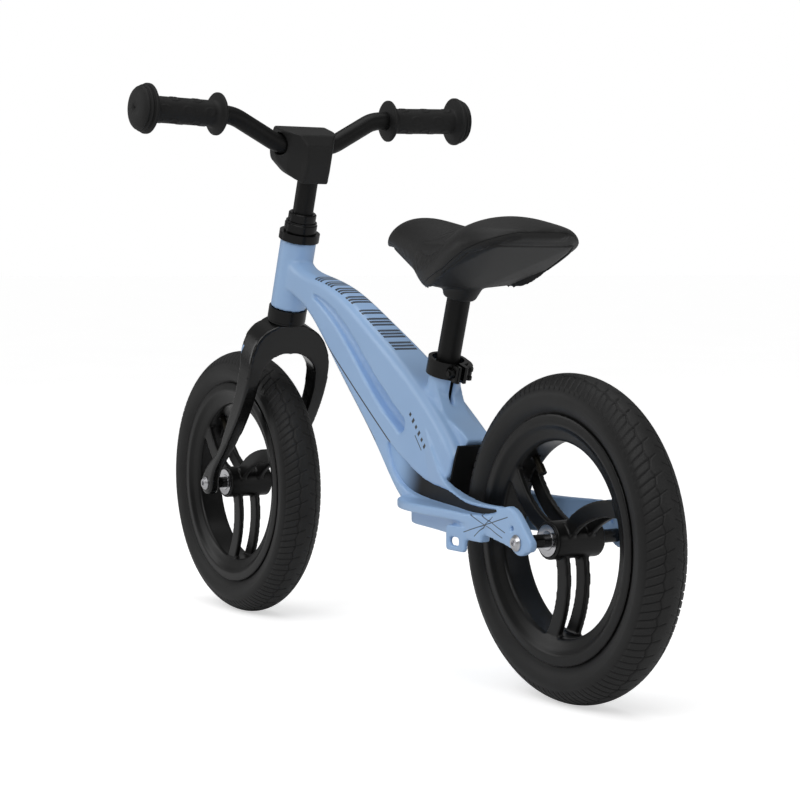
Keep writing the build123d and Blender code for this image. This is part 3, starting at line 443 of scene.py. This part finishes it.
# A thin pale line runs down the front edge of each fork blade.
blade_paint = Finish("fork_gloss_black")
blade_cloud, blade_peel = blade_paint.noise(14, 3), blade_paint.noise(600, 2)
ACCENT_WIDTH = 0.0024
accent = stripe(blade_paint, (0.2205, 0.300), (0.2462, 0.240), ACCENT_WIDTH)
accent = accent.most(stripe(blade_paint, (0.2462, 0.240), (0.2725, 0.190), ACCENT_WIDTH))
accent = accent * blade_paint.y.size().step(0.044, 0.0455)
blade_tone = blade_paint.mix(blade_cloud.step(0.3, 0.7), (0.0035,) * 3, (0.005,) * 3)
fork_black = blade_paint.set(
    Base_Color=blade_paint.mix(accent, blade_tone, (0.30, 0.46, 0.72)),
    Roughness=blade_cloud * 0.05 + 0.19,
    Coat_Weight=0.12,
    Coat_Roughness=0.12,
    Specular_IOR_Level=0.36,
    Normal=blade_paint.relief(blade_peel, 0.00003, 0.5),
)
print("finishes so far:", len(bpy.data.materials))

# %% Dress the CAD nodes that keep their shape
NODE_FINISHES = {
    # The wheel guard's black also stands for painted shade inside the arch.
    "inlay_left": panel_with_painted_shade, "inlay_right": panel_with_painted_shade, "wheel_guard": guard_black_and_shade,
    "guard_screws": gloss_black, "upper_headset_cup": gloss_black, "lower_headset_cup": gloss_black,
    "upper_headset_balls": bearing_steel, "lower_headset_balls": bearing_steel, "crown_race": gloss_black,
    "adjusting_cone": gloss_black, "lock_washer": gloss_black, "locknut": gloss_black,
    "seat_clamp_collar": gloss_black, "seat_clamp_bolt": satin_black, "seat_clamp_nut": satin_black,
    "clamp_lever": gloss_black, "seat_post": satin_black, "post_plug": bright_steel,
    "saddle_bolt": bright_steel, "saddle_base": moulded_black, "saddle_pad": moulded_black,
    "steerer_tube": satin_black, "stem": satin_black,
    "bar_clamp_cap": satin_black, "clamp_cap_screws": bright_steel, "expander_wedge": satin_black,
    "expander_bolt": satin_black, "handlebar": satin_black, "stem_cover": moulded_black,
    "grip_left": grip_black, "grip_right": grip_black, "fork": fork_black, "frame": frame_paint,
}
for end in ("front", "rear"):
    NODE_FINISHES.update({
        f"{end}_axle": gloss_black, f"{end}_axle_bolts": bright_steel, f"{end}_hub_spacer": anodised_black,
        f"{end}_bearing_inner_rings": bearing_steel, f"{end}_bearing_outer_rings": bearing_steel,
        f"{end}_bearing_balls": bearing_steel, f"{end}_rim": rim_black, f"{end}_tyre": grip_black,
        f"{end}_inner_tube": grip_black, f"{end}_valve": valve_brass,
    })
for name, finish in NODE_FINISHES.items():
    mesh = nodes[name].data
    mesh.materials.clear()
    mesh.materials.append(finish)
print("CAD nodes dressed:", len(NODE_FINISHES), "of", len(nodes))

# %% [markdown]
# ## Castings and mouldings
# Cast and moulded pieces have no sharp edges: the mould's corners are rounded and the sides run into each
# other. Rounding each edge of such a shape by hand takes hours. A voxel remesh of a copy of the CAD shape
# gives one even skin instead, and a few rounds of smoothing melt its edges as a mould would.

# %% Melted copies
def copied(node, name):
    """Copy of a CAD node with its loose triangles joined."""
    piece = bpy.data.objects.new(name, nodes[node].data.copy())
    bpy.context.scene.collection.objects.link(piece)
    alone(piece)
    bpy.ops.object.mode_set(mode="EDIT")
    bpy.ops.mesh.select_all(action="SELECT")
    bpy.ops.mesh.remove_doubles(threshold=0.005 * MM)
    bpy.ops.object.mode_set(mode="OBJECT")
    return piece


def melted(node, name, voxel, rounds, keep, filler=None):
    """Copy of a CAD node as an even skin with rounded edges, joined to a filler if there is one.

    The voxel is in mm, rounds counts the smoothing passes, and keep is the share of the faces that stays.
    """
    piece = copied(node, name)
    if filler:
        alone(piece)
        filler.select_set(True)
        bpy.ops.object.join()
    apply_modifier(piece, "REMESH", mode="VOXEL", voxel_size=voxel * MM)
    apply_modifier(piece, "SMOOTH", factor=0.5, iterations=rounds)
    if keep < 1:
        apply_modifier(piece, "DECIMATE", ratio=keep)
    bpy.ops.object.shade_smooth()
    return piece


casting = melted("frame", "frame_casting", voxel=1.4, rounds=9, keep=0.45)
settle(casting, "frame", ["frame"], frame_paint)
blades = melted("fork", "fork_blades", voxel=1.2, rounds=14, keep=0.6)
settle(blades, "steering", ["fork"], fork_black)
cover = melted("stem_cover", "stem_cover_shell", voxel=0.8, rounds=26, keep=0.7)
settle(cover, "handlebar", ["stem_cover"], moulded_black)
for end in ("front", "rear"):
    moulding = melted(f"{end}_rim", f"{end}_wheel_moulding", voxel=1.3, rounds=4, keep=0.55)
    settle(moulding, f"{end}_wheel", [f"{end}_rim"], rim_black)

# %% [markdown]
# ## Profiles
# Turned and moulded rings are drawn as half a section and spun about their axis. A profile can be drawn by
# hand by extruding one point after another, and a helper that does just that serves for tyres and grips.

# %% Profile and spin
def traced(name, points, closed):
    """Chain of points, each extruded from the one before."""
    bpy.ops.object.select_all(action="DESELECT")
    bpy.ops.mesh.primitive_plane_add(size=MM, location=(0, 0, 0))
    bpy.ops.object.mode_set(mode="EDIT")
    bpy.ops.mesh.select_all(action="SELECT")
    bpy.ops.mesh.merge(type="CENTER")
    bpy.ops.transform.translate(value=points[0])
    for before, after in zip(points, points[1:]):
        move = {"value": Vector(after) - Vector(before)}
        bpy.ops.mesh.extrude_region_move(TRANSFORM_OT_translate=move)
    if closed:
        bpy.ops.mesh.select_all(action="SELECT")
        bpy.ops.mesh.edge_face_add()
        bpy.ops.mesh.delete(type="ONLY_FACE")
    bpy.ops.object.mode_set(mode="OBJECT")
    return renamed(name)


def spun(name, points, centre, axis, steps, closed):
    """Profile spun a full turn about an axis."""
    piece = traced(name, points, closed)
    bpy.ops.object.mode_set(mode="EDIT")
    bpy.ops.mesh.select_all(action="SELECT")
    bpy.ops.mesh.spin(steps=steps, angle=2 * pi, center=centre, axis=axis)
    bpy.ops.mesh.select_all(action="SELECT")
    bpy.ops.mesh.remove_doubles(threshold=0.004 * MM)
    bpy.ops.mesh.normals_make_consistent(inside=False)
    bpy.ops.object.mode_set(mode="OBJECT")
    bpy.ops.object.shade_smooth()
    return piece


def arc_through(start, middle, end, count):
    """Points on the circle through three points of a plane."""
    (ax, ay), (bx, by), (cx, cy) = start, middle, end
    d = 2 * (ax * (by - cy) + bx * (cy - ay) + cx * (ay - by))
    a2, b2, c2 = ax * ax + ay * ay, bx * bx + by * by, cx * cx + cy * cy
    ux = (a2 * (by - cy) + b2 * (cy - ay) + c2 * (ay - by)) / d
    uy = (a2 * (cx - bx) + b2 * (ax - cx) + c2 * (bx - ax)) / d
    first, last = atan2(ay - uy, ax - ux), atan2(cy - uy, cx - ux)
    while last - first > pi:
        last -= 2 * pi
    while first - last > pi:
        last += 2 * pi
    reach = hypot(ax - ux, ay - uy)
    angles = [first + (last - first) * i / (count - 1) for i in range(count)]
    return [(ux + reach * cos(a), uy + reach * sin(a)) for a in angles]


# %% [markdown]
# ## Tyres
# The tread is a fine herringbone: slanted bars on the shoulders, a zigzag channel each side of the crown,
# and thin cuts between. The tyre is spun with as many steps as the tread needs, and then each point of the
# tread is moved in or out, so the pattern is real shape. The rows of points lean with the bars, which keeps
# every channel straight-edged on a modest mesh.

# %% Tyre with tread
BARS = 112
STEPS_PER_BAR = 8
# Points of the section are (distance from the axle, distance from the middle plane) in mm.
CROWN, SHOULDER, WIDEST, RIM_LINE, BEAD = (145, 0), (137, 18), (123, 23.5), (111, 17.4), (104.2, 17.1)
half_crown = arc_through(CROWN, (143.2, 9), SHOULDER, 20)[:-1]
half_wall = arc_through(SHOULDER, WIDEST, RIM_LINE, 15)
half_bead = [(107.5, 17.2), BEAD]
half_outer = half_crown + half_wall + half_bead
inner_side = [(104.2, 12.4), (110.5, 13.4), (116, 18.5), (123, 20.4), (130, 18.5), (136, 11)]
outer_line = [(r, -y) for r, y in reversed(half_outer[1:])] + half_outer
inner_line = inner_side + [(139, 0)] + [(r, -y) for r, y in reversed(inner_side)]
outer_run = [0.0]
for (r0, y0), (r1, y1) in zip(outer_line, outer_line[1:]):
    outer_run.append(outer_run[-1] + hypot(r1 - r0, y1 - y0))
crown_run = outer_run[len(half_outer) - 1]
outer_run = np.array(outer_run) - crown_run
print("tread bars", BARS, "section points", len(outer_line) + len(inner_line))


def tread_depth(run, turn):
    """Depth in mm of the tread's channels at a distance from the crown line and a turn counted in bars."""
    side = np.abs(run)
    bar = np.abs((turn + 0.5) % 1 - 0.5) * 2
    pair = np.abs((turn / 2 + 0.5 * (run > 0) + 0.5) % 1 - 0.5) * 2
    shoulder_bars = 1.7 * ((bar < 0.12) & (side > 9) & (side < 25.5))
    zigzag_channel = 1.5 * ((side > 9.2) & (side < 10.6))
    crown_cuts = 1.3 * ((pair < 0.1) & (side > 1.5) & (side < 9.5))
    edge_line = 0.7 * ((side > 26.2) & (side < 27.4))
    wall_ridges = 0.4 * (((side > 29.2) & (side < 30.6)) | ((side > 32) & (side < 33.4)))
    cuts = np.maximum(np.maximum(shoulder_bars, zigzag_channel), np.maximum(crown_cuts, edge_line))
    return cuts - wall_ridges


ZIGZAG_SWING, ZIGZAG_PLACE, ZIGZAG_REACH = 1.3, 10.2, 3
LEAN_PER_MM, LEAN_END = 0.055, 30
FULL_GROOVE = 1.3


def tyre(end):
    """One tyre round the axle of this end's wheel."""
    hub = Vector(joints[f"{end}_wheel_spin"]["pos_m"])
    section = [(hub.x + r * MM, y * MM, hub.z) for r, y in outer_line + inner_line]
    piece = spun(f"{end}_tyre_tread", section, hub, (0, 1, 0), BARS * STEPS_PER_BAR, True)
    mesh = piece.data
    co = np.zeros(len(mesh.vertices) * 3)
    mesh.vertices.foreach_get("co", co)
    co = co.reshape(-1, 3)
    x, y, z = co[:, 0] - hub.x, co[:, 1], co[:, 2] - hub.z
    reach, turn = np.hypot(x, z) / MM, np.arctan2(z, x) / (2 * pi) * BARS
    line = np.array(outer_line)
    gap = np.hypot(reach[:, None] - line[:, 0], y[:, None] / MM - line[:, 1])
    nearest = gap.argmin(1)
    outside = gap.min(1) < 0.2
    run = outer_run[nearest]
    zigzag = np.abs(turn / 2 % 1 - 0.5) * 4 - 1
    near_channel = np.exp(-(((np.abs(run) - ZIGZAG_PLACE) / ZIGZAG_REACH) ** 2))
    shifted = run + np.sign(run) * ZIGZAG_SWING * zigzag * near_channel
    slope = np.gradient(line, axis=0)
    slope /= np.hypot(slope[:, 0], slope[:, 1])[:, None]
    new_r = np.interp(shifted, outer_run, line[:, 0])
    new_y = np.interp(shifted, outer_run, line[:, 1])
    out_r = np.interp(shifted, outer_run, slope[:, 1])
    out_y = -np.interp(shifted, outer_run, slope[:, 0])
    depth = tread_depth(run, turn)
    lean = LEAN_PER_MM * np.minimum(np.abs(run), LEAN_END)
    angle = (turn + lean) / BARS * 2 * pi
    r = np.where(outside, new_r - depth * out_r, reach) * MM
    co[:, 1] = np.where(outside, (new_y - depth * out_y) * MM, y)
    co[:, 0] = hub.x + r * np.cos(angle)
    co[:, 2] = hub.z + r * np.sin(angle)
    mesh.vertices.foreach_set("co", co.ravel())
    # Each point keeps its channel depth as painted shade: the finish draws the rubber darker the deeper the
    # channel.
    groove_shade = mesh.attributes.new("groove_shade", "FLOAT", "POINT")
    darkness = np.where(outside, np.clip(depth / FULL_GROOVE, 0, 1), 0)
    groove_shade.data.foreach_set("value", darkness.astype(np.float32))
    # The tread's own UV counts bars round the tyre and centimetres from the crown line.
    layer = mesh.uv_layers.new(name="tread")
    corner = np.zeros(len(mesh.loops), int)
    mesh.loops.foreach_get("vertex_index", corner)
    around = turn[corner] / BARS
    around = np.where(around < -0.25, around + 1, around)
    layer.data.foreach_set("uv", np.stack([around * BARS, run[corner] / 10], 1).ravel())
    mesh.update()
    return piece


tyre_rubber = Finish("tyre_rubber")
tread_uv = tyre_rubber.node("ShaderNodeUVMap", {"uv_map": "tread"}, {})
around, across, _ = tyre_rubber.parts(tread_uv)
groove_shade = tyre_rubber.node("ShaderNodeAttribute", {"attribute_name": "groove_shade"}, {}, "Fac")
tyre_grain = tyre_rubber.noise(1900, 2)
tyre_cloud = tyre_rubber.noise(18, 3)
hatch = (around * 7 + across.size() * 5).maths("FRACT").within(0.0, 0.4, 0.08)
hatch = hatch * (1 - across.size().step(2.45, 2.55)) * (1 - groove_shade)
tyre_tone = tyre_rubber.mix(tyre_cloud.step(0.3, 0.7), (0.0085,) * 3, (0.0125,) * 3)
# Painted shade: the rubber is drawn darker down in the tread's channels.
tyre_tone = tyre_rubber.mix(groove_shade, tyre_tone, (0.0025,) * 3)
tyre_relief = tyre_rubber.relief(hatch, 0.00025, 0.7)
tyre_rubber_material = tyre_rubber.set(
    Base_Color=tyre_tone, Roughness=tyre_grain * 0.1 + 0.46, Specular_IOR_Level=0.32,
    Normal=tyre_rubber.relief(tyre_grain, 0.0001, 0.5, tyre_relief),
)
for end in ("front", "rear"):
    settle(tyre(end), f"{end}_wheel", [f"{end}_tyre"], tyre_rubber_material)

# %% [markdown]
# ## Grips
# A child's grip has a flange at each end to keep the hand on, raised rings for hold, and a ribbed, domed end
# that covers the tube. It is turned like the tyre, and the rings are raised afterwards by moving points
# outwards.

# %% Grips
# Points of the outline are (distance from the bar's axis, distance along it) in mm. The middle of the grip
# has a point every millimetre, so that the rings have something to move.
GRIP_START, GRIP_END = Vector((0.1698, 0.084, 0.5387)), Vector((0.1625, 0.1945, 0.5415))
BARREL, BARREL_START, BARREL_POINTS = 13.5, 26, 70
RING_START, RING_END, BARREL_LIMIT = 27, 94, 0.0142
RING_ROWS, RING_HEIGHT, RING_LENGTH, RING_WIDTH, RING_BAND = 6, 0.8, 5.2, 3.6, 0.32
DOT_HEIGHT, DOT_RADIUS = 0.5, 1.3
OUTER_SPOTS, INNER_SPOTS = (34, 60, 86), (47, 73)
grip_outline = [(9.8, 16.4), (20.8, 17.2), (22, 18.2), (22, 19.8), (20.8, 20.9), (16.2, 22), (14.4, 23.8)]
grip_outline += [(BARREL, BARREL_START + i) for i in range(BARREL_POINTS)]
grip_outline += [(14.4, 97), (23.6, 98), (25.5, 99.4), (25.5, 101.6), (24.3, 102.6), (22.7, 102.8)]
grip_outline += [(22.5, 104), (23.6, 104.4), (23.8, 105.8), (22.9, 106.6), (21.7, 106.8), (21.5, 107.8)]
grip_outline += [(22.2, 108.2), (22.2, 109.2)]
grip_outline += [(20.8, 110.8), (16, 112.6), (10, 113.6), (1.6, 113.9), (1.4, 112)]


def grip(side):
    """One grip; side is 1 for the left and -1 for the right."""
    start, end = (Vector((p.x, side * p.y, p.z)) for p in (GRIP_START, GRIP_END))
    along = (end - start).normalized()
    square = along.cross(Vector((0, 0, 1))).normalized()
    points = [start + along * t * MM + square * r * MM for r, t in grip_outline]
    piece = spun(f"grip_{'left' if side > 0 else 'right'}_rubber", points, start, along, 108, False)
    up = square.cross(along)
    for vertex in piece.data.vertices:
        offset = vertex.co - start
        t, a, b = offset.dot(along) / MM, offset.dot(square), offset.dot(up)
        if not RING_START < t < RING_END or hypot(a, b) > BARREL_LIMIT:
            continue
        arc, rise, half_turn = atan2(b, a) * BARREL, 0.0, pi * BARREL
        for row in range(RING_ROWS):
            off = (arc - row * 2 * half_turn / RING_ROWS + half_turn) % (2 * half_turn) - half_turn
            rings, dots = (OUTER_SPOTS, INNER_SPOTS) if row % 2 else (INNER_SPOTS, OUTER_SPOTS)
            for spot in rings:
                reach = hypot((t - spot) / RING_LENGTH, off / RING_WIDTH)
                rise = max(rise, RING_HEIGHT * max(0.0, 1 - abs(reach - 1) / RING_BAND))
            for spot in dots:
                rise = max(rise, DOT_HEIGHT * max(0.0, DOT_RADIUS - hypot(t - spot, off)))
        vertex.co += (square * a + up * b).normalized() * rise * MM
    return piece


for side, name in ((1, "grip_left"), (-1, "grip_right")):
    settle(grip(side), "handlebar", [name], grip_black)

# %% [markdown]
# ## Saddle
# The saddle is foam under a sewn synthetic skin. The foam pushes its skin out evenly, so a copy of the CAD
# block is remeshed, put under a little pressure as cloth, and held close to the size it started with.

# %% Padded saddle
# Points of the skin's lower edge in the side view are (x, z) in mm, from the tail to the nose.
SADDLE_EDGE = [(-263, 407), (-250, 401), (-225, 391), (-190, 375), (-146, 361), (-118, 370)]
SADDLE_EDGE += [(-80, 386), (-48, 398), (-11, 404)]
PANEL_LOWEST = 0.362
SWELL_PRESSURE, SWELL_FRAMES, SWELL_CAP = 4, 20, 1.2 * MM


def puffed(piece, pressure, cap):
    """Let the piece swell as cloth for a few frames, with no point moving more than cap."""
    start = [vertex.co.copy() for vertex in piece.data.vertices]
    alone(piece)
    cloth = piece.modifiers.new("cloth", "CLOTH")
    cloth.settings.use_pressure = True
    cloth.settings.uniform_pressure_force = pressure
    cloth.settings.effector_weights.gravity = 0
    cloth.point_cache.frame_end = SWELL_FRAMES
    for moment in range(1, SWELL_FRAMES + 1):
        bpy.context.scene.frame_set(moment)
    bpy.ops.object.modifier_apply(modifier="cloth")
    bpy.context.scene.frame_set(1)
    for vertex, place in zip(piece.data.vertices, start):
        move = vertex.co - place
        if move.length > cap:
            vertex.co = place + move.normalized() * cap


# The pan is open below in the CAD part. On the real saddle a moulded panel closes it, a little above the
# rim, so the pan's own outline is stretched into a closed panel and joined to it.
panel_below = copied("saddle_base", "saddle_panel")
alone(panel_below)
bpy.ops.object.mode_set(mode="EDIT")
bpy.ops.mesh.select_all(action="DESELECT")
bpy.ops.object.mode_set(mode="OBJECT")
for vertex in panel_below.data.vertices:
    vertex.select = vertex.co.z < PANEL_LOWEST
bpy.ops.object.mode_set(mode="EDIT")
bpy.ops.mesh.delete(type="VERT")
bpy.ops.mesh.select_all(action="SELECT")
bpy.ops.mesh.convex_hull()
bpy.ops.object.mode_set(mode="OBJECT")
pan = melted("saddle_base", "saddle_pan", voxel=1.4, rounds=8, keep=0.6, filler=panel_below)
settle(pan, "saddle", ["saddle_base"], moulded_black)

# %% Cushion and its skin
cushion = melted("saddle_pad", "saddle_cushion", voxel=1.8, rounds=6, keep=0.7)
puffed(cushion, SWELL_PRESSURE, SWELL_CAP)
apply_modifier(cushion, "SUBSURF", levels=1, render_levels=1)
apply_modifier(cushion, "DECIMATE", ratio=0.6)
bpy.ops.object.shade_smooth()
edge_x, edge_z = zip(*SADDLE_EDGE)
above = cushion.data.attributes.new("above_edge", "FLOAT", "POINT")
for vertex, value in zip(cushion.data.vertices, above.data):
    value.value = vertex.co.z / MM - float(np.interp(vertex.co.x / MM, edge_x, edge_z))

skin = Finish("saddle_skin")
height = skin.node("ShaderNodeAttribute", {"attribute_name": "above_edge"}, {}, "Fac")
pebble, skin_cloud = skin.cells(900), skin.noise(16, 3)
seam = height.within(5.2, 6.0, 0.25)
skin_tone = skin.mix(skin_cloud.step(0.3, 0.7), (0.0095,) * 3, (0.0135,) * 3)
saddle_skin = skin.set(
    Base_Color=skin.mix(seam, skin_tone, (0.002,) * 3),
    Roughness=pebble * 0.12 + 0.44, Specular_IOR_Level=0.3,
    Normal=skin.relief(pebble, 0.00012, 0.5, skin.relief(1 - seam, 0.0007, 0.9)),
)
settle(cushion, "saddle", ["saddle_pad"], saddle_skin)
